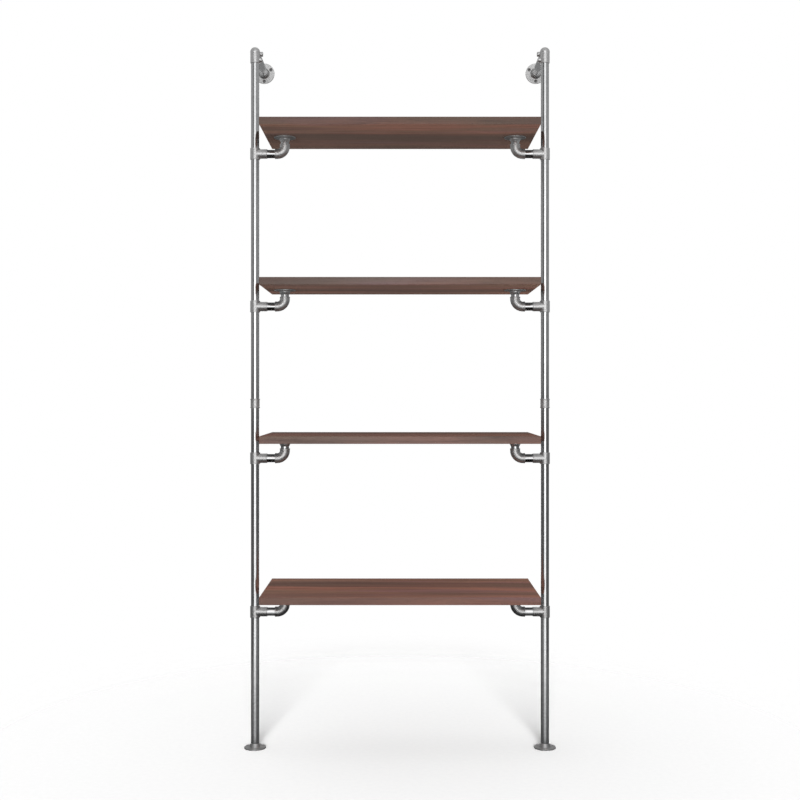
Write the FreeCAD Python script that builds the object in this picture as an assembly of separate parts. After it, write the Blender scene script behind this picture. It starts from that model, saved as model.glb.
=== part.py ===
import FreeCAD, Part
import math
import os
from FreeCAD import Vector

# Pipe shelving unit in millimetres.
# X runs to the right, Y back towards the wall and Z up from the floor.

# Overall layout
SHELF_LENGTH = 880.0
SHELF_DEPTH = 400.0
SHELF_THICKNESS = 24.0
SHELF_END_GAP = 21.55
FIRST_BRACKET_HEIGHT = 446.5
SECOND_BRACKET_STEP = 503.0
THIRD_BRACKET_STEP = 497.0
FOURTH_BRACKET_STEP = 500.0
COUPLING_RISE = 179.5
ARM_RISE = 334.0
WALL_REACH = 280.0
BRACKET_REACH = 97.6
SHELF_RISE = 55.0
SHELF_EDGE_RADIUS = 1.2

# Pipe and its turned ends
PIPE_OD = 26.9
PIPE_WALL = 2.65
PIPE_END_CHAMFER = 0.5
THREAD_OD = 25.6
THREAD_LENGTH = 14.0
THREAD_CLEARANCE = 0.05
THREAD_RELIEF = 1.0

# Slip-on sockets, locked by set screws
SLIP_CLEARANCE = 0.15
SLIP_DEPTH = 22.0
SLIP_END_GAP = 0.5
SET_SCREW_DIAMETER = 8.0
SET_SCREW_LENGTH = 8.0
SET_SCREW_CHAMFER = 0.8
SET_SCREW_CLEARANCE = 0.05
HEX_KEY_SIZE = 4.0
HEX_KEY_DEPTH = 4.0
BOSS_OD = 16.0
BOSS_REACH = 22.9
BOSS_CHAMFER = 1.2

# Tee on the upright
TEE_RUN_WALL = 2.4
TEE_RUN_LENGTH = 38.0
TEE_BRANCH_WALL = 2.0
TEE_BRANCH_REACH = 40.0
TEE_BRANCH_SCREW = 28.0
TEE_FILLET = 2.6

# Elbow at the top of the upright
TOP_ELBOW_WALL = 2.0
TOP_ELBOW_REACH = 36.7
TOP_ELBOW_BALL_SWELL = 0.3
TOP_ELBOW_BORE_BEND = 17.0
TOP_ELBOW_SCREW = 26.0

# Elbow of a shelf bracket
BRACKET_ELBOW_WALL = 3.35
BRACKET_ELBOW_REACH = 32.0
BRACKET_ELBOW_BEND = 25.0
ELBOW_BEAD_HEIGHT = 0.4
ELBOW_BEAD_WIDTH = 4.0
FITTING_CHAMFER = 0.6

# Coupling between the lower and the upper upright
COUPLING_LENGTH = 30.5
COUPLING_WALL = 1.75
COUPLING_BEAD_HEIGHT = 1.15
COUPLING_BEAD_WIDTH = 3.0

# Flange for floor, wall and shelf
FLANGE_OD = 71.0
FLANGE_THICKNESS = 4.0
FLANGE_HEIGHT = 16.0
FLANGE_EDGE_RADIUS = 1.0
HUB_WALL = 4.75
HUB_SHOULDER = 8.5
HUB_TOP_WALL = 1.1
HUB_FILLET = 2.0
HUB_TOP_RADIUS = 0.4
HOLE_COUNT = 3
HOLE_CIRCLE = 53.0
HOLE_START_ANGLE = 30.0
HOLE_DIAMETER = 6.5
COUNTERSINK_DIAMETER = 12.0

# Wood screws under the shelves
WOOD_SCREW_DIAMETER = 4.5
WOOD_SCREW_HEAD = 10.0
WOOD_SCREW_DEPTH = 16.0
WOOD_SCREW_TIP = 5.0
WOOD_SCREW_CLEARANCE = 0.05
PILOT_EXTRA_DEPTH = 0.5
CROSS_LENGTH = 5.0
CROSS_WIDTH = 1.0
CROSS_DEPTH = 1.8

# Gap left where curved faces touch, run-out of a cut, and the tolerance for finding an edge
CONTACT_GAP = 0.02
CUT_OVERRUN = 1.0
MATCH = 1e-4

# Derived positions, with the depth centred between the shelf's front edge and the wall
UPRIGHT_Y = (SHELF_DEPTH / 2 - WALL_REACH) / 2
UPRIGHT_SPACING = SHELF_LENGTH + 2 * SHELF_END_GAP + PIPE_OD
SIDES = {"left": -1, "right": 1}
BRACKET_HEIGHTS = [FIRST_BRACKET_HEIGHT]
for step in (SECOND_BRACKET_STEP, THIRD_BRACKET_STEP, FOURTH_BRACKET_STEP):
    BRACKET_HEIGHTS.append(BRACKET_HEIGHTS[-1] + step)
COUPLING_HEIGHT = BRACKET_HEIGHTS[1] + COUPLING_RISE
ARM_HEIGHT = BRACKET_HEIGHTS[-1] + ARM_RISE

# Derived radii
PIPE_RADIUS = PIPE_OD / 2
PIPE_BORE = PIPE_RADIUS - PIPE_WALL
THREAD_BORE = THREAD_OD / 2 + THREAD_CLEARANCE
SLIP_BORE = PIPE_RADIUS + SLIP_CLEARANCE

# Directions and the turns that bring Z onto them
UP = Vector(0, 0, 1)
BACK = Vector(0, 1, 0)
RIGHT = Vector(1, 0, 0)
FACING_UP = FreeCAD.Rotation()
FACING_DOWN = FreeCAD.Rotation(RIGHT, 180)
FACING_FRONT = FreeCAD.Rotation(RIGHT, 90)
FACING_BACK = FreeCAD.Rotation(RIGHT, -90)
FACING_RIGHT = FreeCAD.Rotation(BACK, 90)
FACING_LEFT = FreeCAD.Rotation(BACK, -90)


def moved(shape, position, rotation=FACING_UP):
    """Copy of a shape, turned about the origin and then moved."""
    result = shape.copy()
    result.Placement = FreeCAD.Placement(position, rotation)
    return result


def handed(shape, side):
    """Piece drawn for the left side, mirrored where it goes on the right side."""
    if side < 0:
        return shape
    return shape.mirror(Vector(0, 0, 0), RIGHT)


def turned(profile):
    """Solid of revolution about Z from (radius, height) corners."""
    corners = [Vector(radius, 0, height) for radius, height in profile]
    corners.append(corners[0])
    outline = Part.Face(Part.makePolygon(corners))
    return outline.revolve(Vector(0, 0, 0), UP, 360)


def bent_bar(radius, bend, reach, first, second):
    """Round bar from the end of one leg, through a bend at the origin, to the end of the other."""
    section = Part.Face(Part.Wire(Part.makeCircle(radius, first * bend, first)))
    elbow = section.revolve((first + second) * bend, second.cross(first), 90)
    legs = [Part.makeCylinder(radius, reach - bend, leg * bend, leg) for leg in (first, second)]
    return elbow.fuse(legs).removeSplitter()


def round_edges(shape, centre, radius):
    """Circular edges of a shape with the given centre and radius."""
    curved = [edge for edge in shape.Edges if not edge.Degenerated]
    circles = [edge for edge in curved if isinstance(edge.Curve, Part.Circle)]
    return [
        edge for edge in circles
        if edge.Curve.Center.isEqual(centre, MATCH) and abs(edge.Curve.Radius - radius) < MATCH
    ]


def chamfer_ends(shape, ends, radius):
    """Chamfer the outer edge of a fitting at each of its end centres."""
    for end in ends:
        shape = shape.makeChamfer(FITTING_CHAMFER, round_edges(shape, end, radius))
    return shape


def boss():
    """Raised seat of a set screw along Z, measured from the pipe's axis."""
    radius = BOSS_OD / 2
    return turned([
        (0, SLIP_BORE),
        (radius, SLIP_BORE),
        (radius, BOSS_REACH - BOSS_CHAMFER),
        (radius - BOSS_CHAMFER, BOSS_REACH),
        (0, BOSS_REACH),
    ])


def boss_hole():
    """Tapped hole through a boss along Z, measured from the pipe's axis."""
    radius = SET_SCREW_DIAMETER / 2 + SET_SCREW_CLEARANCE
    return Part.makeCylinder(radius, BOSS_REACH, Vector(0, 0, 0), UP)


def set_screw():
    """Headless screw with a hexagon socket along Z, measured from the pipe's axis."""
    radius = SET_SCREW_DIAMETER / 2
    inner_end = PIPE_RADIUS + CONTACT_GAP
    outer_end = inner_end + SET_SCREW_LENGTH
    body = turned([
        (0, inner_end),
        (radius - SET_SCREW_CHAMFER, inner_end),
        (radius, inner_end + SET_SCREW_CHAMFER),
        (radius, outer_end - SET_SCREW_CHAMFER / 2),
        (radius - SET_SCREW_CHAMFER / 2, outer_end),
        (0, outer_end),
    ])
    corner_radius = HEX_KEY_SIZE / 2 / math.cos(math.radians(30))
    corners = []
    for index in range(7):
        angle = math.radians(60 * index)
        corner = Vector(math.cos(angle), math.sin(angle), 0) * corner_radius
        corners.append(corner + UP * (outer_end - HEX_KEY_DEPTH))
    hexagon = Part.Face(Part.makePolygon(corners))
    return body.cut(hexagon.extrude(UP * (HEX_KEY_DEPTH + CUT_OVERRUN)))


def pipe(length, threaded_start, threaded_end):
    """Pipe along Z from the origin, turned down where it screws into a fitting."""
    def end_corners(threaded):
        radius = THREAD_OD / 2 if threaded else PIPE_RADIUS
        corners = [(PIPE_BORE, 0), (radius - PIPE_END_CHAMFER, 0), (radius, PIPE_END_CHAMFER)]
        if threaded:
            corners += [(radius, THREAD_LENGTH), (PIPE_RADIUS, THREAD_LENGTH)]
        return corners

    start = end_corners(threaded_start)
    end = [(radius, length - height) for radius, height in reversed(end_corners(threaded_end))]
    return turned(start + end)


def hole_centres():
    """Centres of the flange's holes in its own frame."""
    centres = []
    for index in range(HOLE_COUNT):
        angle = math.radians(HOLE_START_ANGLE + 360.0 / HOLE_COUNT * index)
        centres.append(Vector(math.cos(angle), math.sin(angle), 0) * (HOLE_CIRCLE / 2))
    return centres


def flange():
    """Round flange along Z whose back face lies at the origin."""
    rim = FLANGE_OD / 2
    hub = THREAD_BORE + HUB_WALL
    hub_top = THREAD_BORE + HUB_TOP_WALL
    body = turned([
        (THREAD_BORE, 0),
        (rim, 0),
        (rim, FLANGE_THICKNESS),
        (hub, FLANGE_THICKNESS),
        (hub, HUB_SHOULDER),
        (hub_top, FLANGE_HEIGHT),
        (THREAD_BORE, FLANGE_HEIGHT),
    ])
    face_centre = UP * FLANGE_THICKNESS
    top_centre = UP * FLANGE_HEIGHT
    body = body.makeFillet(HUB_FILLET, round_edges(body, face_centre, hub))
    body = body.makeFillet(FLANGE_EDGE_RADIUS, round_edges(body, face_centre, rim))
    body = body.makeFillet(HUB_TOP_RADIUS, round_edges(body, top_centre, hub_top))
    sink_depth = (COUNTERSINK_DIAMETER - HOLE_DIAMETER) / 2
    hole = Part.makeCylinder(HOLE_DIAMETER / 2, FLANGE_THICKNESS)
    sink = Part.makeCone(
        HOLE_DIAMETER / 2, COUNTERSINK_DIAMETER / 2, sink_depth, UP * (FLANGE_THICKNESS - sink_depth)
    )
    drill = hole.fuse(sink)
    return body.cut([moved(drill, centre) for centre in hole_centres()])


def tee():
    """Slip-on tee of the left upright, with its branch to the right."""
    run_radius = SLIP_BORE + TEE_RUN_WALL
    branch_radius = SLIP_BORE + TEE_BRANCH_WALL
    half_run = TEE_RUN_LENGTH / 2
    branch_end = RIGHT * TEE_BRANCH_REACH
    run = Part.makeCylinder(run_radius, TEE_RUN_LENGTH, UP * -half_run, UP)
    branch = Part.makeCylinder(branch_radius, TEE_BRANCH_REACH, Vector(0, 0, 0), RIGHT)
    body = run.fuse(branch).removeSplitter()
    junction = [edge for edge in body.Edges if not isinstance(edge.Curve, (Part.Circle, Part.Line))]
    body = body.makeFillet(TEE_FILLET, junction)
    body = chamfer_ends(body, [UP * half_run, UP * -half_run], run_radius)
    body = chamfer_ends(body, [branch_end], branch_radius)
    screw_places = [Vector(0, 0, 0), RIGHT * TEE_BRANCH_SCREW]
    body = body.fuse([moved(boss(), place, FACING_BACK) for place in screw_places]).removeSplitter()
    run_bore = Part.makeCylinder(SLIP_BORE, TEE_RUN_LENGTH, UP * -half_run, UP)
    branch_start = TEE_BRANCH_REACH - SLIP_DEPTH - SLIP_END_GAP
    branch_bore = Part.makeCylinder(SLIP_BORE, TEE_BRANCH_REACH, RIGHT * branch_start, RIGHT)
    screw_holes = [moved(boss_hole(), place, FACING_BACK) for place in screw_places]
    return body.cut([run_bore, branch_bore] + screw_holes)


def bracket_elbow():
    """Threaded elbow of a left bracket, from its stub on the left to the riser above."""
    left = RIGHT * -1
    radius = THREAD_BORE + BRACKET_ELBOW_WALL
    bead_start = BRACKET_ELBOW_REACH - ELBOW_BEAD_WIDTH
    body = bent_bar(radius, BRACKET_ELBOW_BEND, BRACKET_ELBOW_REACH, left, UP)
    bead = turned([
        (0, bead_start - ELBOW_BEAD_HEIGHT),
        (radius, bead_start - ELBOW_BEAD_HEIGHT),
        (radius + ELBOW_BEAD_HEIGHT, bead_start),
        (radius + ELBOW_BEAD_HEIGHT, BRACKET_ELBOW_REACH - FITTING_CHAMFER),
        (radius + ELBOW_BEAD_HEIGHT - FITTING_CHAMFER, BRACKET_ELBOW_REACH),
        (0, BRACKET_ELBOW_REACH),
    ])
    legs = (FACING_LEFT, FACING_UP)
    body = body.fuse([moved(bead, Vector(0, 0, 0), leg) for leg in legs]).removeSplitter()
    bore_depth = THREAD_LENGTH + THREAD_RELIEF
    bore = Part.makeCylinder(THREAD_BORE, bore_depth, UP * (BRACKET_ELBOW_REACH - bore_depth))
    cuts = [moved(bore, Vector(0, 0, 0), leg) for leg in legs]
    cuts.append(bent_bar(PIPE_BORE, BRACKET_ELBOW_BEND, BRACKET_ELBOW_REACH, left, UP))
    return body.cut(cuts)


def top_elbow():
    """Slip-on elbow of the left upright, from the pipe below to the arm behind."""
    down = UP * -1
    radius = SLIP_BORE + TOP_ELBOW_WALL
    legs = [Part.makeCylinder(radius, TOP_ELBOW_REACH, Vector(0, 0, 0), leg) for leg in (down, BACK)]
    ball = Part.makeSphere(radius + TOP_ELBOW_BALL_SWELL)
    body = ball.fuse(legs).removeSplitter()
    body = chamfer_ends(body, [down * TOP_ELBOW_REACH, BACK * TOP_ELBOW_REACH], radius)
    screw_places = [BACK * TOP_ELBOW_SCREW, down * TOP_ELBOW_SCREW]
    body = body.fuse([moved(boss(), place, FACING_RIGHT) for place in screw_places]).removeSplitter()
    bore_depth = SLIP_DEPTH + SLIP_END_GAP
    bore = Part.makeCylinder(SLIP_BORE, bore_depth, UP * (TOP_ELBOW_REACH - bore_depth))
    cuts = [moved(bore, Vector(0, 0, 0), way) for way in (FACING_DOWN, FACING_BACK)]
    cuts += [moved(boss_hole(), place, FACING_RIGHT) for place in screw_places]
    cuts.append(bent_bar(PIPE_BORE, TOP_ELBOW_BORE_BEND, TOP_ELBOW_REACH, down, BACK))
    return body.cut(cuts)


def coupling():
    """Threaded sleeve with a bead at each end, centred on the origin along Z."""
    half = COUPLING_LENGTH / 2
    radius = THREAD_BORE + COUPLING_WALL
    bead = radius + COUPLING_BEAD_HEIGHT
    bead_start = half - COUPLING_BEAD_WIDTH
    upper = [
        (radius, bead_start - COUPLING_BEAD_HEIGHT),
        (bead, bead_start),
        (bead, half - FITTING_CHAMFER),
        (bead - FITTING_CHAMFER, half),
        (THREAD_BORE, half),
    ]
    lower = [(corner_radius, -height) for corner_radius, height in reversed(upper)]
    return turned(lower + upper)


def wood_screw():
    """Countersunk screw along Z in a flange's own frame, pointing below the flange."""
    sink_loss = (COUNTERSINK_DIAMETER - WOOD_SCREW_HEAD) / 2
    head_top = FLANGE_THICKNESS - sink_loss + CONTACT_GAP
    neck = head_top - (WOOD_SCREW_HEAD - WOOD_SCREW_DIAMETER) / 2
    radius = WOOD_SCREW_DIAMETER / 2
    body = turned([
        (0, -WOOD_SCREW_DEPTH),
        (radius, WOOD_SCREW_TIP - WOOD_SCREW_DEPTH),
        (radius, neck),
        (WOOD_SCREW_HEAD / 2, head_top),
        (0, head_top),
    ])
    corner = Vector(-CROSS_LENGTH / 2, -CROSS_WIDTH / 2, head_top - CROSS_DEPTH)
    slot = Part.makeBox(CROSS_LENGTH, CROSS_WIDTH, CROSS_DEPTH + CUT_OVERRUN, corner)
    cross_slot = slot.copy()
    cross_slot.rotate(Vector(0, 0, 0), UP, 90)
    return body.cut([slot, cross_slot])


def shelf():
    """Board with rounded edges, centred over the origin with its underside there."""
    corner = Vector(-SHELF_LENGTH / 2, -SHELF_DEPTH / 2, 0)
    board = Part.makeBox(SHELF_LENGTH, SHELF_DEPTH, SHELF_THICKNESS, corner)
    board = board.makeFillet(SHELF_EDGE_RADIUS, board.Edges)
    radius = WOOD_SCREW_DIAMETER / 2 + WOOD_SCREW_CLEARANCE
    pilot = Part.makeCylinder(radius, WOOD_SCREW_DEPTH + PILOT_EXTRA_DEPTH)
    pilots = []
    for side in SIDES.values():
        flange_centre = RIGHT * (side * (UPRIGHT_SPACING / 2 - BRACKET_REACH))
        for centre in hole_centres():
            pilots.append(moved(pilot, flange_centre + FACING_DOWN.multVec(centre)))
    return board.cut(pilots)


nodes = {}
set_screws = []
wood_screws = []

# Pieces that are used more than once
flange_shape = flange()
coupling_shape = coupling()
tee_shape = tee()
bracket_elbow_shape = bracket_elbow()
top_elbow_shape = top_elbow()
set_screw_shape = set_screw()
wood_screw_shape = wood_screw()
shelf_shape = shelf()

# Lengths of the pipes
coupling_gap = COUPLING_LENGTH / 2 - THREAD_LENGTH
lower_start = FLANGE_HEIGHT - THREAD_LENGTH
lower_end = COUPLING_HEIGHT - coupling_gap
upper_start = COUPLING_HEIGHT + coupling_gap
upper_end = ARM_HEIGHT - TOP_ELBOW_REACH + SLIP_DEPTH
arm_start = TOP_ELBOW_REACH - SLIP_DEPTH
arm_end = WALL_REACH - FLANGE_HEIGHT + THREAD_LENGTH
stub_start = TEE_BRANCH_REACH - SLIP_DEPTH
stub_end = BRACKET_REACH - BRACKET_ELBOW_REACH + THREAD_LENGTH
riser_start = BRACKET_ELBOW_REACH - THREAD_LENGTH
riser_end = SHELF_RISE - FLANGE_HEIGHT + THREAD_LENGTH
lower_pipe = pipe(lower_end - lower_start, True, True)
upper_pipe = pipe(upper_end - upper_start, True, False)
arm_pipe = pipe(arm_end - arm_start, False, True)
stub_pipe = pipe(stub_end - stub_start, False, True)
riser_pipe = pipe(riser_end - riser_start, True, True)

for side_name, side in SIDES.items():
    inward = RIGHT * -side
    facing_inward = FACING_RIGHT if side < 0 else FACING_LEFT
    foot = Vector(side * UPRIGHT_SPACING / 2, UPRIGHT_Y, 0)
    corner = foot + UP * ARM_HEIGHT

    # Upright from the floor to the top elbow, and the arm back to the wall
    nodes[side_name + "_floor_flange"] = moved(flange_shape, foot)
    nodes[side_name + "_lower_upright"] = moved(lower_pipe, foot + UP * lower_start)
    nodes[side_name + "_upright_coupling"] = moved(coupling_shape, foot + UP * COUPLING_HEIGHT)
    nodes[side_name + "_upper_upright"] = moved(upper_pipe, foot + UP * upper_start)
    nodes[side_name + "_top_elbow"] = moved(handed(top_elbow_shape, side), corner)
    nodes[side_name + "_wall_arm"] = moved(arm_pipe, corner + BACK * arm_start, FACING_BACK)
    nodes[side_name + "_wall_flange"] = moved(flange_shape, corner + BACK * WALL_REACH, FACING_FRONT)
    for place in (corner + BACK * TOP_ELBOW_SCREW, corner - UP * TOP_ELBOW_SCREW):
        set_screws.append(moved(set_screw_shape, place, facing_inward))

    # One bracket under each shelf
    for index, height in enumerate(BRACKET_HEIGHTS):
        number = "_" + str(index + 1)
        hub = foot + UP * height
        bend = hub + inward * BRACKET_REACH
        underside = bend + UP * SHELF_RISE
        stub_place = hub + inward * stub_start
        elbow = handed(bracket_elbow_shape, side)
        nodes[side_name + "_shelf_tee" + number] = moved(handed(tee_shape, side), hub)
        nodes[side_name + "_bracket_stub" + number] = moved(stub_pipe, stub_place, facing_inward)
        nodes[side_name + "_bracket_elbow" + number] = moved(elbow, bend)
        nodes[side_name + "_bracket_riser" + number] = moved(riser_pipe, bend + UP * riser_start)
        nodes[side_name + "_shelf_flange" + number] = moved(flange_shape, underside, FACING_DOWN)
        for place in (hub, hub + inward * TEE_BRANCH_SCREW):
            set_screws.append(moved(set_screw_shape, place, FACING_BACK))
        for centre in hole_centres():
            place = underside + FACING_DOWN.multVec(centre)
            wood_screws.append(moved(wood_screw_shape, place, FACING_DOWN))

# Shelf boards, numbered from the lowest
for index, height in enumerate(BRACKET_HEIGHTS):
    place = Vector(0, UPRIGHT_Y, height + SHELF_RISE)
    nodes["shelf_" + str(index + 1)] = moved(shelf_shape, place)

nodes["set_screws"] = Part.makeCompound(set_screws)
nodes["wood_screws"] = Part.makeCompound(wood_screws)

os.makedirs("parts", exist_ok=True)
for name, shape in nodes.items():
    shape.exportStep("parts/" + name + ".step")
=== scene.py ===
import math

import bpy
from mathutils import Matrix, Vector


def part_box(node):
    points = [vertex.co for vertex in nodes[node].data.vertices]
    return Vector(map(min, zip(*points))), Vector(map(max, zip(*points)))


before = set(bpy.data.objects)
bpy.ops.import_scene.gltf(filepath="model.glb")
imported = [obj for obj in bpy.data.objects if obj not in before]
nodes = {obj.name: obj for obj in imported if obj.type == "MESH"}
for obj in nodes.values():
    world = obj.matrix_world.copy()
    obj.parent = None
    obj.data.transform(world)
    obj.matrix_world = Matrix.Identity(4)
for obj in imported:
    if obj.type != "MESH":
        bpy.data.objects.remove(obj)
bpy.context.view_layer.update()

# Camera
CAMERA_DISTANCE = 4.102
CAMERA_HEIGHT = 1.168
CAMERA_LENS = 56.3
CAMERA_SENSOR = 36.0
CAMERA_SHIFT = -0.0106

# Surround: the light that it gives and what the metal sees of it, by the height of the direction
AMBIENT_BELOW = 1.15
AMBIENT_LEVEL = 0.74
AMBIENT_ABOVE = 1.35
AMBIENT_REACH = 0.6
REFLECTED_BELOW = 0.04
REFLECTED_RISE = (-0.57, -0.14)
REFLECTED_ABOVE = 0.55
REFLECTED_FALL = (0.3, 0.6)

# Suns that light the floor alone
FRONT_SUN_LEVEL = 31.5
FRONT_SUN_WIDTH = 19.0
FRONT_SUN_TURN = (80.5, 0.0)
TOP_SUN_LEVEL = 0.7
TOP_SUN_WIDTH = 45.0
TOP_SUN_TURN = (0.0, -17.0)

SIDES = ("left", "right")
WHITE = (1.0, 1.0, 1.0, 1.0)
scene = bpy.context.scene
scene.view_settings.view_transform = "Standard"


class Shader:
    """A node tree of a material or of the world, built one node at a time."""

    def __init__(self, tree, output):
        self.tree = tree
        self.tree.nodes.clear()
        self.output = self.node(output)

    def feed(self, socket, value):
        if isinstance(value, bpy.types.NodeSocket):
            self.tree.links.new(value, socket)
        else:
            socket.default_value = value

    def node(self, kind, inputs=None, **settings):
        made = self.tree.nodes.new(kind)
        for key, value in settings.items():
            setattr(made, key, value)
        for key, value in (inputs or {}).items():
            self.feed(made.inputs[key], value)
        return made

    def math(self, operation, a, b=0.0):
        return self.node("ShaderNodeMath", {0: a, 1: b}, operation=operation).outputs[0]

    def spread(self, value, low, high, to_low=0.0, to_high=1.0, course="LINEAR"):
        settings = {"Value": value, "From Min": low, "From Max": high, "To Min": to_low, "To Max": to_high}
        made = self.node("ShaderNodeMapRange", settings, clamp=True, interpolation_type=course)
        return made.outputs["Result"]

    def mix(self, share, a, b, way="MIX"):
        made = self.node("ShaderNodeMix", {0: share, 6: a, 7: b}, data_type="RGBA", blend_type=way)
        return made.outputs[2]

    def blend(self, share, a, b):
        return self.node("ShaderNodeMix", {0: share, 2: a, 3: b}, data_type="FLOAT").outputs[0]

    def place(self):
        return self.node("ShaderNodeTexCoord").outputs["Object"]

    def axes(self, vector):
        return self.node("ShaderNodeSeparateXYZ", {"Vector": vector}).outputs

    def flatness(self, steep, flat):
        normal = self.node("ShaderNodeNewGeometry").outputs["True Normal"]
        return self.spread(self.math("ABSOLUTE", self.axes(normal)["Z"]), steep, flat)

    def stretch(self, vector, scale, offset):
        made = self.node("ShaderNodeMapping", {"Vector": vector, "Scale": scale, "Location": offset})
        return made.outputs["Vector"]

    def noise(self, vector, scale, detail, roughness):
        settings = {"Vector": vector, "Scale": scale, "Detail": detail, "Roughness": roughness}
        return self.node("ShaderNodeTexNoise", settings).outputs["Fac"]

    def grain(self, place, along, across, detail, roughness=0.5, offset=(0.0, 0.0, 0.0)):
        return self.noise(self.stretch(place, (along, across, across), offset), 1.0, detail, roughness)

    def bump(self, height, depth, strength):
        settings = {"Height": height, "Distance": depth, "Strength": strength}
        return self.node("ShaderNodeBump", settings).outputs["Normal"]

    def diffuse(self, colour):
        return self.node("ShaderNodeBsdfDiffuse", {"Color": colour}).outputs[0]

    def emission(self, level):
        return self.node("ShaderNodeEmission", {"Color": WHITE, "Strength": level}).outputs[0]

    def clear(self):
        return self.node("ShaderNodeBsdfTransparent").outputs[0]

    def mix_shaders(self, share, a, b):
        return self.node("ShaderNodeMixShader", {0: share, 1: a, 2: b}).outputs[0]

    def surface(self, shader):
        self.tree.links.new(shader, self.output.inputs["Surface"])

    def metal(self, colour, roughness, normal):
        settings = {"Base Color": colour, "Metallic": 1.0, "Roughness": roughness, "Normal": normal}
        self.surface(self.node("ShaderNodeBsdfPrincipled", settings).outputs[0])

    def glow(self, level):
        """Light on top of whatever lies behind the card."""
        self.surface(self.node("ShaderNodeAddShader", {0: self.emission(level), 1: self.clear()}).outputs[0])


def new_material(name):
    material = bpy.data.materials.new(name)
    material.use_nodes = True
    return material, Shader(material.node_tree, "ShaderNodeOutputMaterial")


def grey(level):
    return (level, level, level, 1.0)


def middle_of(node):
    low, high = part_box(node)
    return (low + high) / 2


# Values that the finishes share
NOISE_RANGE = (0.3, 0.7)
SKIN_STRENGTH = 0.5

# Zinc coat on the pipes: crystals of slightly different shade and gloss
PIPE_DARK = (0.51, 0.515, 0.52, 1.0)
PIPE_PALE = (0.67, 0.675, 0.68, 1.0)
PIPE_CRYSTALS = 170.0
PIPE_CLOUDS = 22.0
PIPE_CLOUD_SHARE = 0.5
PIPE_SKIN = 900.0
PIPE_SKIN_DEPTH = 0.000004
PIPE_SHADE_RANGE = (0.2, 0.8)
PIPE_GLOSS = (0.1, 0.15)
RISER_GLOSS = (0.2, 0.25)


def galvanised_pipe(name, gloss):
    material, s = new_material(name)
    place = s.place()
    crystal = s.node("ShaderNodeTexVoronoi", {"Vector": place, "Scale": PIPE_CRYSTALS, "Randomness": 1.0})
    tone = s.node("ShaderNodeSeparateColor", {"Color": crystal.outputs["Color"]}).outputs[0]
    shade = s.blend(PIPE_CLOUD_SHARE, tone, s.noise(place, PIPE_CLOUDS, detail=5.0, roughness=0.6))
    skin = s.noise(place, PIPE_SKIN, detail=3.0, roughness=0.5)
    roughness = s.spread(shade, *PIPE_SHADE_RANGE, *gloss)
    s.metal(s.mix(shade, PIPE_DARK, PIPE_PALE), roughness, s.bump(skin, PIPE_SKIN_DEPTH, SKIN_STRENGTH))
    return material


# Cast fittings: the same zinc, duller on a cast skin, and on the shelf flanges painted shade: darker where
# flat
FITTING_GREYS = (0.555, 0.675)
# Darker copy of the fitting greys for the wall flanges, which is painted shade
WALL_FLANGE_SHADED_GREYS = (0.45, 0.54)
SHELF_FLANGE_PLATE_SHADE = 0.72
PLATE_SHADE_FLATNESS = (0.5, 0.9)
FITTING_SKIN = 380.0
FITTING_SKIN_DEPTH = 0.00002
FITTING_CLOUDS = 60.0
FITTING_GLOSS = (0.4, 0.46)


def galvanised_fitting(name, greys, plate_shade=1.0):
    material, s = new_material(name)
    place = s.place()
    skin = s.noise(place, FITTING_SKIN, detail=6.0, roughness=0.6)
    cloud = s.noise(place, FITTING_CLOUDS, detail=4.0, roughness=0.6)
    colour = s.mix(cloud, *[grey(level) for level in greys])
    # Painted shade: flat faces, such as a shelf flange's plate under its board, are darker
    if plate_shade < 1.0:
        plate_shaded = s.mix(1.0, colour, grey(plate_shade), "MULTIPLY")
        colour = s.mix(s.flatness(*PLATE_SHADE_FLATNESS), colour, plate_shaded)
    roughness = s.spread(skin, *NOISE_RANGE, *FITTING_GLOSS)
    s.metal(colour, roughness, s.bump(skin, FITTING_SKIN_DEPTH, SKIN_STRENGTH))
    return material


# Bright zinc on the screws
SCREW_DARK = (0.5, 0.51, 0.53, 1.0)
SCREW_PALE = (0.62, 0.63, 0.65, 1.0)
SCREW_SKIN = 700.0
SCREW_SKIN_DEPTH = 0.00003
SCREW_GLOSS = (0.25, 0.4)


def zinc_screw():
    material, s = new_material("zinc_screw")
    skin = s.noise(s.place(), SCREW_SKIN, detail=3.0, roughness=0.5)
    roughness = s.spread(skin, *NOISE_RANGE, *SCREW_GLOSS)
    s.metal(s.mix(skin, SCREW_DARK, SCREW_PALE), roughness, s.bump(skin, SCREW_SKIN_DEPTH, SKIN_STRENGTH))
    return material


# Walnut: a darker back band, broad bands that drift along the board, streaks, fibres and open pores
WALNUT_RED = (0.245, 0.116, 0.082, 1.0)
WALNUT_TAN = (0.19, 0.112, 0.078, 1.0)
WALNUT_MAUVE = (0.21, 0.114, 0.102, 1.0)
WALNUT_BAND = (0.122, 0.078, 0.062, 1.0)
WALNUT_BACK_BAND = (0.085, 0.062, 0.05, 1.0)
WALNUT_STREAK = (0.1, 0.052, 0.04, 1.0)
WALNUT_FIBRE = (0.07, 0.04, 0.03, 1.0)
WALNUT_PORE = (0.045, 0.026, 0.02, 1.0)
HUE_RANGE = (0.42, 0.6)
MAUVE_RANGE = (0.52, 0.68)
MAUVE_OFFSET = (5.0, 3.0, 1.0)
BAND_RANGE = (0.46, 0.6)
BAND_OFFSET = (2.0, 7.0, 0.0)
STREAK_RANGE = (0.48, 0.7)
FIBRE_RANGE = (0.4, 0.75)
PORE_RANGE = (0.6, 0.7)
BAND_SHARE = 0.8
BACK_BAND_SHARE = 0.6
STREAK_SHARE = 0.7
FIBRE_SHARE = 0.3
PORE_SHARE = 0.35
BACK_BAND_BLEND = 0.012
DRIFT = 0.04
SEED_ALONG = 3.7
SEED_UP = 2.9
FIBRE_RELIEF = 0.5
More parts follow.
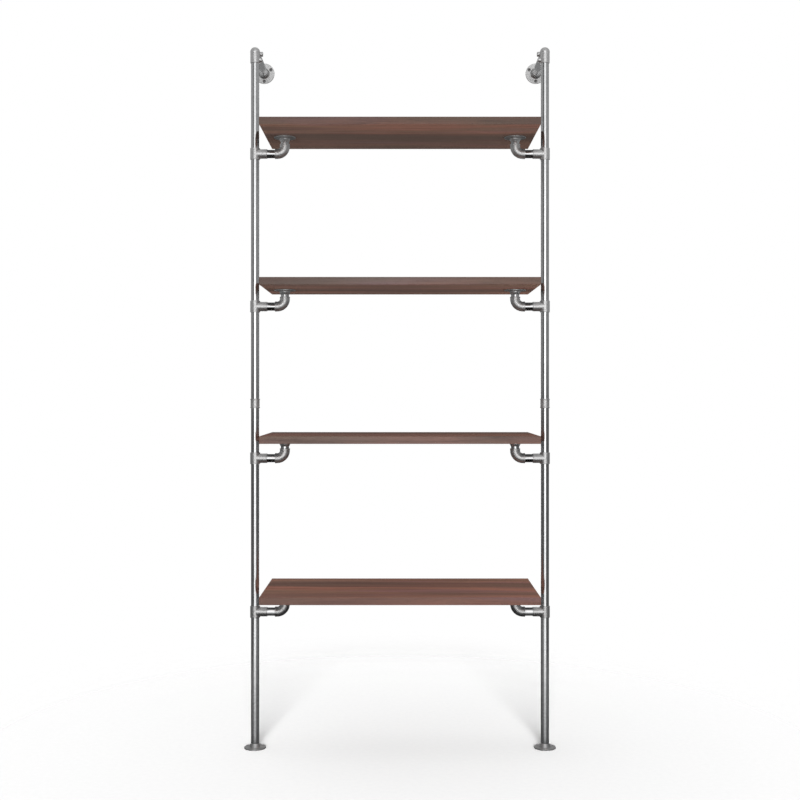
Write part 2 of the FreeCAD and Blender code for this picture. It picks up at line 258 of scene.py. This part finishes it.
WOOD_RELIEF_DEPTH = 0.00006
WOOD_RELIEF_STRENGTH = 0.4
EDGE_SHADE_FLATNESS = (0.2, 0.8)
WOOD_SHEEN = 0.025
WOOD_GLOSS = (0.16, 0.22)


def walnut_board(name, seed, height, back_band, tone, edge):
    material, s = new_material(name)
    start = (seed * SEED_ALONG, 0.0, seed * SEED_UP - height)
    place = s.stretch(s.place(), (1.0, 1.0, 1.0), start)
    drift = s.grain(place, along=1.3, across=3.0, detail=2.0)
    shift = s.node("ShaderNodeCombineXYZ", {"Y": s.spread(drift, 0.0, 1.0, -DRIFT, DRIFT)}).outputs[0]
    place = s.node("ShaderNodeVectorMath", {0: place, 1: shift}, operation="ADD").outputs["Vector"]
    hue = s.grain(place, along=2.4, across=17.0, detail=3.0)
    mauve = s.grain(place, along=1.7, across=23.0, detail=2.0, offset=MAUVE_OFFSET)
    band = s.grain(place, along=0.8, across=8.0, detail=2.0, offset=BAND_OFFSET)
    streak = s.grain(place, along=2.2, across=85.0, detail=5.0, roughness=0.6)
    fibre = s.grain(place, along=9.0, across=420.0, detail=4.0, roughness=0.6)
    pore = s.spread(s.grain(place, along=45.0, across=1300.0, detail=2.0), *PORE_RANGE)
    colour = s.mix(s.spread(hue, *HUE_RANGE), WALNUT_RED, WALNUT_TAN)
    colour = s.mix(s.spread(mauve, *MAUVE_RANGE), colour, WALNUT_MAUVE)
    colour = s.mix(s.spread(band, *BAND_RANGE, 0.0, BAND_SHARE), colour, WALNUT_BAND)
    across = s.axes(place)["Y"]
    front = s.spread(across, back_band[0] - BACK_BAND_BLEND, back_band[0] + BACK_BAND_BLEND)
    back = s.spread(across, back_band[1] - BACK_BAND_BLEND, back_band[1] + BACK_BAND_BLEND, 1.0, 0.0)
    back_banded = s.mix(BACK_BAND_SHARE, colour, WALNUT_BACK_BAND)
    colour = s.mix(s.math("MULTIPLY", front, back), colour, back_banded)
    colour = s.mix(s.spread(streak, *STREAK_RANGE, 0.0, STREAK_SHARE), colour, WALNUT_STREAK)
    colour = s.mix(s.spread(fibre, *FIBRE_RANGE, 0.0, FIBRE_SHARE), colour, WALNUT_FIBRE)
    colour = s.mix(s.math("MULTIPLY", pore, PORE_SHARE), colour, WALNUT_PORE)
    # Painted shade: where the faces stand upright, at the board's edges, the wood is darker than on its top
    # and underside
    shaded_edges = s.mix(1.0, colour, (*[edge * share for share in tone], 1.0), "MULTIPLY")
    faced = s.mix(1.0, colour, (*tone, 1.0), "MULTIPLY")
    colour = s.mix(s.flatness(*EDGE_SHADE_FLATNESS), shaded_edges, faced)
    relief = s.math("SUBTRACT", s.math("MULTIPLY", fibre, FIBRE_RELIEF), pore)
    normal = s.bump(relief, WOOD_RELIEF_DEPTH, WOOD_RELIEF_STRENGTH)
    wood = s.node("ShaderNodeBsdfDiffuse", {"Color": colour, "Normal": normal})
    gloss = s.spread(streak, *NOISE_RANGE, *WOOD_GLOSS)
    sheen = s.node("ShaderNodeBsdfGlossy", {"Roughness": gloss, "Normal": normal})
    s.surface(s.mix_shaders(WOOD_SHEEN, wood.outputs[0], sheen.outputs[0]))
    return material


# Every imported node takes the finish of its kind
# Span of the darker band towards the back of each board, from the board's middle
BACK_BAND_SPAN = {
    "shelf_1": (0.01, 0.11),
    "shelf_2": (0.06, 0.2),
    "shelf_3": (-0.02, 0.09),
    "shelf_4": (-0.06, 0.21),
}
# Tone of each board, partly its own and partly painted light: the lowest board is lighter, as if lit from
# the floor
BOARD_TONE_AND_PAINTED_LIGHT = {
    "shelf_1": (1.17, 1.1, 1.14),
    "shelf_2": (0.86, 0.91, 0.99),
    "shelf_3": (1.08, 1.12, 1.18),
    "shelf_4": (1.01, 1.05, 1.1),
}
# Painted shade on the upright edges of each board, as a share of its tone
EDGE_PAINTED_SHADE = {"shelf_1": 0.76, "shelf_2": 0.87, "shelf_3": 0.7, "shelf_4": 0.62}
BOARD_SEED = {"shelf_1": 1, "shelf_2": 7, "shelf_3": 6, "shelf_4": 4}
PIPE_WORDS = ("upright", "arm", "stub")
pipe_finish = galvanised_pipe("galvanised_pipe", PIPE_GLOSS)
riser_finish = galvanised_pipe("galvanised_riser", RISER_GLOSS)
fitting_finish = galvanised_fitting("galvanised_fitting", FITTING_GREYS)
wall_flange_finish = galvanised_fitting("galvanised_wall_flange", WALL_FLANGE_SHADED_GREYS)
shelf_flange_finish = galvanised_fitting("galvanised_shelf_flange", FITTING_GREYS, SHELF_FLANGE_PLATE_SHADE)
screw_finish = zinc_screw()
for name, obj in nodes.items():
    words = name.split("_")
    if name.startswith("shelf_"):
        centre = middle_of(name)
        back_band = [centre.y + edge for edge in BACK_BAND_SPAN[name]]
        tone_and_shade = BOARD_TONE_AND_PAINTED_LIGHT[name], EDGE_PAINTED_SHADE[name]
        finish = walnut_board("walnut_" + name, BOARD_SEED[name], centre.z, back_band, *tone_and_shade)
    elif name.endswith("screws"):
        finish = screw_finish
    elif "coupling" not in words and any(word in words for word in PIPE_WORDS):
        finish = pipe_finish
    elif "riser" in words:
        finish = riser_finish
    elif name.endswith("wall_flange"):
        finish = wall_flange_finish
    elif "flange" in words and "shelf" in words:
        finish = shelf_flange_finish
    else:
        finish = fitting_finish
    obj.data.materials.clear()
    obj.data.materials.append(finish)


# Stage: flat cards from their corners, most of them seen only in reflections
def card(name, corners, material):
    mesh = bpy.data.meshes.new(name)
    mesh.from_pydata(corners, [], [tuple(range(len(corners)))])
    mesh.materials.append(material)
    obj = bpy.data.objects.new(name, mesh)
    scene.collection.objects.link(obj)
    return obj


def reflected_card(name, corners, material):
    obj = card(name, corners, material)
    obj.visible_camera = False
    obj.visible_diffuse = False
    obj.visible_transmission = False
    obj.visible_volume_scatter = False
    obj.visible_shadow = False
    return obj


def lying(xs, ys, z):
    return [(xs[0], ys[0], z), (xs[1], ys[0], z), (xs[1], ys[1], z), (xs[0], ys[1], z)]


def standing(xs, y, zs):
    return [(xs[0], y, zs[0]), (xs[1], y, zs[0]), (xs[1], y, zs[1]), (xs[0], y, zs[1])]


def circle(steps):
    angles = [2 * math.pi * step / steps for step in range(steps)]
    return [(math.cos(angle), math.sin(angle)) for angle in angles]


def light_only(obj, side, endings):
    lit = bpy.data.collections.new(obj.name + "_pieces")
    for name, piece in nodes.items():
        if name.startswith(side) and name.endswith(endings):
            lit.objects.link(piece)
    obj.light_linking.receiver_collection = lit


def light_material(name, level):
    material, s = new_material(name)
    s.surface(s.emission(level))
    return material


def speckled(s, scale, greys):
    speck = s.noise(s.place(), scale, detail=3.0, roughness=0.5)
    return s.diffuse(s.mix(speck, *[grey(level) for level in greys]))


# Pale floor that fades into the white surround
FLOOR_RADIUS = 1.9
FLOOR_FADE_FROM = 0.9
FLOOR_DROP = 0.0006
FLOOR_STEPS = 96
FLOOR_GREYS = (0.31, 0.33)
FLOOR_SPECKS = 60.0
material, s = new_material("floor")
radius = s.node("ShaderNodeVectorMath", {0: s.place()}, operation="LENGTH").outputs["Value"]
fade = s.spread(radius, FLOOR_FADE_FROM, FLOOR_RADIUS, course="SMOOTHSTEP")
s.surface(s.mix_shaders(fade, speckled(s, FLOOR_SPECKS, FLOOR_GREYS), s.clear()))
rim = [(FLOOR_RADIUS * x, FLOOR_RADIUS * y, -FLOOR_DROP) for x, y in circle(FLOOR_STEPS)]
floor = card("floor", rim, material)
floor.visible_glossy = False

# Suns for the soft shadows on the floor: a low one from the front and one from above
floor_only = bpy.data.collections.new("floor_only")
floor_only.objects.link(floor)


def floor_sun(name, level, width, turn):
    data = bpy.data.lights.new(name, "SUN")
    data.energy = level
    data.angle = math.radians(width)
    sun = bpy.data.objects.new(name, data)
    sun.rotation_euler = (math.radians(turn[0]), math.radians(turn[1]), 0)
    sun.light_linking.receiver_collection = floor_only
    scene.collection.objects.link(sun)


floor_sun("front_sun", FRONT_SUN_LEVEL, FRONT_SUN_WIDTH, FRONT_SUN_TURN)
floor_sun("top_sun", TOP_SUN_LEVEL, TOP_SUN_WIDTH, TOP_SUN_TURN)

# Grey flags at the sides and behind, which give the metal its dark flanks
FLAG_X = 1.6
FLAG_FRONT = -2.2
FLAG_BACK = 2.6
FLAG_TOP = 5.0
FLAG_LOW = 0.12
FLAG_BEHIND = 0.1
FLAG_RISE = (1.0, 1.3)
FLAG_RISE_LEVEL = 0.15
FLAG_HIGH_RISE = (1.3, 3.0)
FLAG_HIGH_RISE_LEVEL = 0.2
FLAG_FRONT_FADE = (-1.3, -0.7)
LEFT_FRONT_SHARE = 0.3
RIGHT_FRONT_SHARE = 1.0


def side_flag(name, front_share):
    material, s = new_material(name)
    axes = s.axes(s.place())
    rise = s.spread(axes["Z"], *FLAG_RISE, 0.0, FLAG_RISE_LEVEL)
    rise = s.math("ADD", rise, s.spread(axes["Z"], *FLAG_HIGH_RISE, 0.0, FLAG_HIGH_RISE_LEVEL))
    share = s.spread(axes["Y"], *FLAG_FRONT_FADE, front_share, 1.0)
    s.surface(s.emission(s.math("ADD", s.math("MULTIPLY", rise, share), FLAG_LOW)))
    return material


plan = ((-FLAG_X, FLAG_FRONT), (-FLAG_X, FLAG_BACK), (FLAG_X, FLAG_BACK), (FLAG_X, FLAG_FRONT))
flags = {
    "left_flag": side_flag("left_flag", LEFT_FRONT_SHARE),
    "back_flag": light_material("back_flag", FLAG_BEHIND),
    "right_flag": side_flag("right_flag", RIGHT_FRONT_SHARE),
}
for name, a, b in zip(flags, plan, plan[1:]):
    reflected_card(name, [(*a, 0.0), (*b, 0.0), (*b, FLAG_TOP), (*a, FLAG_TOP)], flags[name])

# Floor as the metal sees it: a dark flag, and on it glows that each light only some of the pieces
FLOOR_FLAG_FRONT = -1.9
FLOOR_FLAG_FADE = -1.2
FLOOR_FLAG_DROP = 0.0004
GLOW_STEP = 0.0001
HIGH_GLOW_STEPS = 3
STUB_GLOW_STEPS = 3.5


def floor_card(name, steps, material):
    z = GLOW_STEP * steps - FLOOR_FLAG_DROP
    return reflected_card(name, lying((-FLAG_X, FLAG_X), (FLOOR_FLAG_FRONT, FLAG_BACK), z), material)


material, s = new_material("floor_flag")
fade = s.spread(s.axes(s.place())["Y"], FLOOR_FLAG_FRONT, FLOOR_FLAG_FADE)
s.surface(s.mix_shaders(fade, s.clear(), s.diffuse(grey(0.0))))
floor_card("floor_flag", 0, material)

# Glow in front of each upright, for the pieces close to the floor
LOW_PIECES = ("floor_flange", "lower_upright")
GLOW_NEAR = (-0.18, -0.1)
GLOW_NEAR_LEVEL = 0.45
GLOW_FAR_END = -0.2
GLOW_FAR_LEVEL = 1.1
GLOW_BACK = (0.1, 0.6)
GLOW_LEAST = 0.11
GLOW_BACK_LEVEL = 0.15
GLOW_LEAN = 0.05
GLOW_WEDGE = (0.3, 0.65)
GLOW_WEDGE_LEAST = 0.2
LEAST_AHEAD = 0.01


def floor_glow(side, steps):
    material, s = new_material(side + "_floor_glow")
    upright = middle_of(side + "_lower_upright")
    axes = s.axes(s.place())
    near = s.spread(axes["Y"], *GLOW_NEAR, GLOW_NEAR_LEVEL, 0.0)
    far = s.spread(axes["Y"], FLOOR_FLAG_FRONT, GLOW_FAR_END, GLOW_FAR_LEVEL, 0.0)
    inward = s.math("MULTIPLY", s.math("SUBTRACT", axes["X"], upright.x), -math.copysign(1.0, upright.x))
    ahead = s.math("MAXIMUM", s.math("SUBTRACT", upright.y, axes["Y"]), LEAST_AHEAD)
    lean = s.math("SUBTRACT", s.math("DIVIDE", inward, ahead), GLOW_LEAN)
    wedge = s.spread(s.math("ABSOLUTE", lean), *GLOW_WEDGE, 1.0, GLOW_WEDGE_LEAST)
    fade = s.spread(axes["Y"], FLOOR_FLAG_FRONT, FLOOR_FLAG_FADE)
    behind = s.spread(axes["Y"], *GLOW_BACK, GLOW_LEAST, GLOW_BACK_LEVEL)
    level = s.math("ADD", s.math("MULTIPLY", s.math("ADD", near, far), wedge), behind)
    s.glow(s.math("MULTIPLY", level, fade))
    light_only(floor_card(side + "_floor_glow", steps, material), side, LOW_PIECES)


for steps, side in enumerate(SIDES, 1):
    floor_glow(side, steps)

# Floor as the lowest stubs see it: pale only well in front of them
LOWEST_STUBS = ("stub_1",)
STUB_GLOW_FADE = (-0.9, -0.3)
STUB_GLOW_LEVEL = 0.8
STUB_GLOW_LEAST = 0.07
material, s = new_material("stub_glow")
depth = s.axes(s.place())["Y"]
level = s.spread(depth, *STUB_GLOW_FADE, STUB_GLOW_LEVEL, STUB_GLOW_LEAST)
s.glow(s.math("MULTIPLY", level, s.spread(depth, FLOOR_FLAG_FRONT, FLOOR_FLAG_FADE)))
light_only(floor_card("stub_glow", STUB_GLOW_STEPS, material), "", LOWEST_STUBS)

# Floor as the upper uprights see it: evenly pale, which shows when they are seen from above
HIGH_PIECES = ("upper_upright",)
HIGH_GLOW_LEVEL = 0.4
material, s = new_material("high_glow")
s.glow(HIGH_GLOW_LEVEL)
light_only(floor_card("high_glow", HIGH_GLOW_STEPS, material), "", HIGH_PIECES)

# Glow behind, low down, for the pieces close to the floor
BACK_GLOW_GAP = 0.01
BACK_GLOW_Y = FLAG_BACK - BACK_GLOW_GAP
BACK_GLOW_LEVEL = 0.3
BACK_GLOW_FADE = (1.0, 1.3)
material, s = new_material("back_glow")
s.glow(s.spread(s.axes(s.place())["Z"], *BACK_GLOW_FADE, BACK_GLOW_LEVEL, 0.0))
back_glow = reflected_card("back_glow", standing((-FLAG_X, FLAG_X), BACK_GLOW_Y, (0.0, FLAG_TOP)), material)
light_only(back_glow, "", LOW_PIECES)

# Strips of light straight behind each upright, which light the metal as it is seen from the back
STRIP_STEP = 0.01
STRIP_HALF = 0.6
ARM_STRIP_HALF = 1.1
STRIP_EVEN_SHARE = 0.7
STRIP_SKIRT = 1.67
SKIRT_SHARE = 0.1
PIPE_STRIP_LEVEL = 2.0
FITTING_STRIP_LEVEL = 0.9
ARM_STRIP_LEVEL = 0.16
SHELF_NUMBERS = (1, 2, 3, 4)
BRACKET_WORDS = ("tee", "elbow")
PIPE_ENDINGS = ("upright", "coupling")
FITTING_ENDINGS = ("top_elbow", "wall_flange")
FITTING_ENDINGS += tuple("%s_%d" % (word, shelf) for word in BRACKET_WORDS for shelf in SHELF_NUMBERS)
ARM_ENDINGS = ("wall_arm",)
STRIPS = (
    ("pipe", PIPE_STRIP_LEVEL, STRIP_HALF, PIPE_ENDINGS),
    ("fitting", FITTING_STRIP_LEVEL, STRIP_HALF, FITTING_ENDINGS),
    ("arm", ARM_STRIP_LEVEL, ARM_STRIP_HALF, ARM_ENDINGS),
)


def back_strip(side, steps, kind, level, half, endings):
    name = "%s_%s_strip" % (side, kind)
    material, s = new_material(name)
    middle = middle_of(side + "_lower_upright").x
    reach = STRIP_SKIRT * half
    aside = s.math("ABSOLUTE", s.math("SUBTRACT", s.axes(s.place())["X"], middle))
    strip = s.spread(aside, STRIP_EVEN_SHARE * half, half, level, 0.0)
    skirt = s.spread(aside, half, reach, SKIRT_SHARE * level, 0.0)
    s.glow(s.math("ADD", strip, skirt))
    corners = standing((middle - reach, middle + reach), BACK_GLOW_Y - STRIP_STEP * steps, (0.0, FLAG_TOP))
    light_only(reflected_card(name, corners, material), side, endings)


for first, side in enumerate(SIDES, 1):
    for turn, strip in enumerate(STRIPS):
        back_strip(side, first + len(SIDES) * turn, *strip)

# Dark flags under the boards, which the metal reflects as shade, and light ahead of the lower stubs
SHADE_LEVEL = 0.07
SHADE_DROP = 0.001
SHADE_MARGIN = 0.06
SHADE_AHEAD = {1: 0.06, 2: 0.06, 3: 0.06, 4: 0.025}
INNER_SHADE_LEVEL = 0.22
INNER_SHADE_SHELVES = (3, 4)
SHADE_GLOW = {1: 1.2, 2: 1.0}
SHADE_GLOW_START = {1: 0.032, 2: 0.06}
SHADE_GLOW_RAMP = 0.02


def shade_glow(side, shelf, xs, ys, z):
    name = "%s_shade_glow_%d" % (side, shelf)
    material, s = new_material(name)
    stub = middle_of("%s_bracket_stub_%d" % (side, shelf))
    start = SHADE_GLOW_START[shelf]
    ahead = s.math("SUBTRACT", stub.y, s.axes(s.place())["Y"])
    s.glow(s.spread(ahead, start, start + SHADE_GLOW_RAMP, 0.0, SHADE_GLOW[shelf]))
    light_only(reflected_card(name, lying(xs, ys, z), material), side, ("stub_%d" % shelf,))


shade_finish = light_material("board_shade", SHADE_LEVEL)
inner_shade_finish = light_material("inner_board_shade", INNER_SHADE_LEVEL)
for shelf, ahead in SHADE_AHEAD.items():
    board_low, board_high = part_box("shelf_%d" % shelf)
    shade_z = board_low.z - SHADE_DROP
    inner_xs = []
    for side in SIDES:
        stub_low, stub_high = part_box("%s_bracket_stub_%d" % (side, shelf))
        xs = (max(stub_low.x - SHADE_MARGIN, board_low.x), min(stub_high.x + SHADE_MARGIN, board_high.x))
        inner_xs.append(min(xs, key=abs))
        corners = lying(xs, (stub_low.y - ahead, board_high.y), shade_z)
        reflected_card("%s_board_shade_%d" % (side, shelf), corners, shade_finish)
        if shelf in SHADE_GLOW:
            shade_glow(side, shelf, xs, (board_low.y, stub_low.y), shade_z - SHADE_DROP)
    if shelf in INNER_SHADE_SHELVES:
        corners = lying(inner_xs, (board_low.y, board_high.y), shade_z)
        reflected_card("inner_board_shade_%d" % shelf, corners, inner_shade_finish)

# Dark grey patches behind the holes of the wall flanges, painted shade that shows through the holes
HOLE_CIRCLE = 0.053
HOLE_COUNT = 3
FIRST_HOLE_ANGLE = 30
PATCH_RADIUS = 0.0045
PATCH_GAP = 0.0003
PATCH_STEPS = 24
PATCH_SHADE_GREYS = (0.2, 0.26)
PATCH_SPECKS = 300.0
material, s = new_material("hole_shade_patch")
s.surface(speckled(s, PATCH_SPECKS, PATCH_SHADE_GREYS))
for side in SIDES:
    low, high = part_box(side + "_wall_flange")
    middle = (low + high) / 2
    patch_y = high.y + PATCH_GAP
    for hole in range(HOLE_COUNT):
        angle = math.radians(FIRST_HOLE_ANGLE + 360 / HOLE_COUNT * hole)
        x = middle.x + HOLE_CIRCLE / 2 * math.cos(angle)
        z = middle.z + HOLE_CIRCLE / 2 * math.sin(angle)
        corners = [(x + PATCH_RADIUS * a, patch_y, z + PATCH_RADIUS * b) for a, b in circle(PATCH_STEPS)]
        card("%s_wall_patch_%d" % (side, hole), corners, material)

# Large soft panel behind the camera, with a dark wing on its left and a grey one on its right
PANEL_LEVEL = 1.6
PANEL_HIGH_SHARE = 0.85
PANEL_HIGH_FADE = (5.0, 7.5)
PANEL_CORE = 3.6
PANEL_CORE_HALF = 2.4
PANEL_CORE_RISE = (-2.0, 1.0)
PANEL_CORE_FALL = (3.0, 6.0)
PANEL_LEFT = -8.5
PANEL_RIGHT = 10.0
PANEL_EDGE = 0.6
PANEL_WING = 22.0
LEFT_WING_LEVEL = 0.1
RIGHT_WING_LEVEL = 0.36
WING_CHANGE = (-1.0, 1.0)
PANEL_BOTTOM = -4.4
PANEL_TOP = 11.0
PANEL_DISTANCE = 20.0
material, s = new_material("panel")
axes = s.axes(s.place())
wing = s.spread(axes["X"], *WING_CHANGE, LEFT_WING_LEVEL, RIGHT_WING_LEVEL)
core = s.spread(s.math("ABSOLUTE", axes["X"]), 0.0, PANEL_CORE_HALF, PANEL_CORE, 0.0)
core = s.math("MULTIPLY", core, s.spread(axes["Z"], *PANEL_CORE_RISE))
core = s.math("MULTIPLY", core, s.spread(axes["Z"], *PANEL_CORE_FALL, 1.0, 0.0))
even = s.spread(axes["Z"], *PANEL_HIGH_FADE, PANEL_LEVEL, PANEL_HIGH_SHARE * PANEL_LEVEL)
from_left = s.spread(axes["X"], PANEL_LEFT - PANEL_EDGE, PANEL_LEFT + PANEL_EDGE)
to_right = s.spread(axes["X"], PANEL_RIGHT - PANEL_EDGE, PANEL_RIGHT + PANEL_EDGE, 1.0, 0.0)
inside = s.math("MULTIPLY", from_left, to_right)
s.surface(s.emission(s.blend(inside, wing, s.math("ADD", core, even))))
corners = standing((-PANEL_WING, PANEL_WING), -PANEL_DISTANCE, (PANEL_BOTTOM, PANEL_TOP))
reflected_card("panel", corners, material)

# White surround for the camera, softer for the light that it gives and for reflections
world = bpy.data.worlds.new("surround")
scene.world = world
world.use_nodes = True
s = Shader(world.node_tree, "ShaderNodeOutputWorld")
path = s.node("ShaderNodeLightPath")
height = s.axes(s.node("ShaderNodeTexCoord").outputs["Generated"])["Z"]
below = s.spread(height, -AMBIENT_REACH, 0.0, AMBIENT_BELOW - AMBIENT_LEVEL, 0.0)
above = s.spread(height, 0.0, AMBIENT_REACH, 0.0, AMBIENT_ABOVE - AMBIENT_LEVEL)
ambient = s.math("ADD", s.math("ADD", below, above), AMBIENT_LEVEL)
reflected = s.spread(height, *REFLECTED_RISE, REFLECTED_BELOW, 1.0)
reflected = s.math("MINIMUM", reflected, s.spread(height, *REFLECTED_FALL, 1.0, REFLECTED_ABOVE))
level = s.blend(path.outputs["Is Glossy Ray"], ambient, reflected)
seen = s.math("MAXIMUM", path.outputs["Is Camera Ray"], path.outputs["Is Transmission Ray"])
level = s.blend(seen, level, 1.0)
s.surface(s.node("ShaderNodeBackground", {"Color": WHITE, "Strength": level}).outputs[0])

# Camera at the photograph's place
camera_data = bpy.data.cameras.new("photo_camera")
camera_data.lens = CAMERA_LENS
camera_data.sensor_width = CAMERA_SENSOR
camera_data.shift_y = CAMERA_SHIFT
camera = bpy.data.objects.new("photo_camera", camera_data)
camera.location = (0.0, middle_of("left_lower_upright").y - CAMERA_DISTANCE, CAMERA_HEIGHT)
camera.rotation_euler = (math.pi / 2, 0, 0)
scene.collection.objects.link(camera)
scene.camera = camera
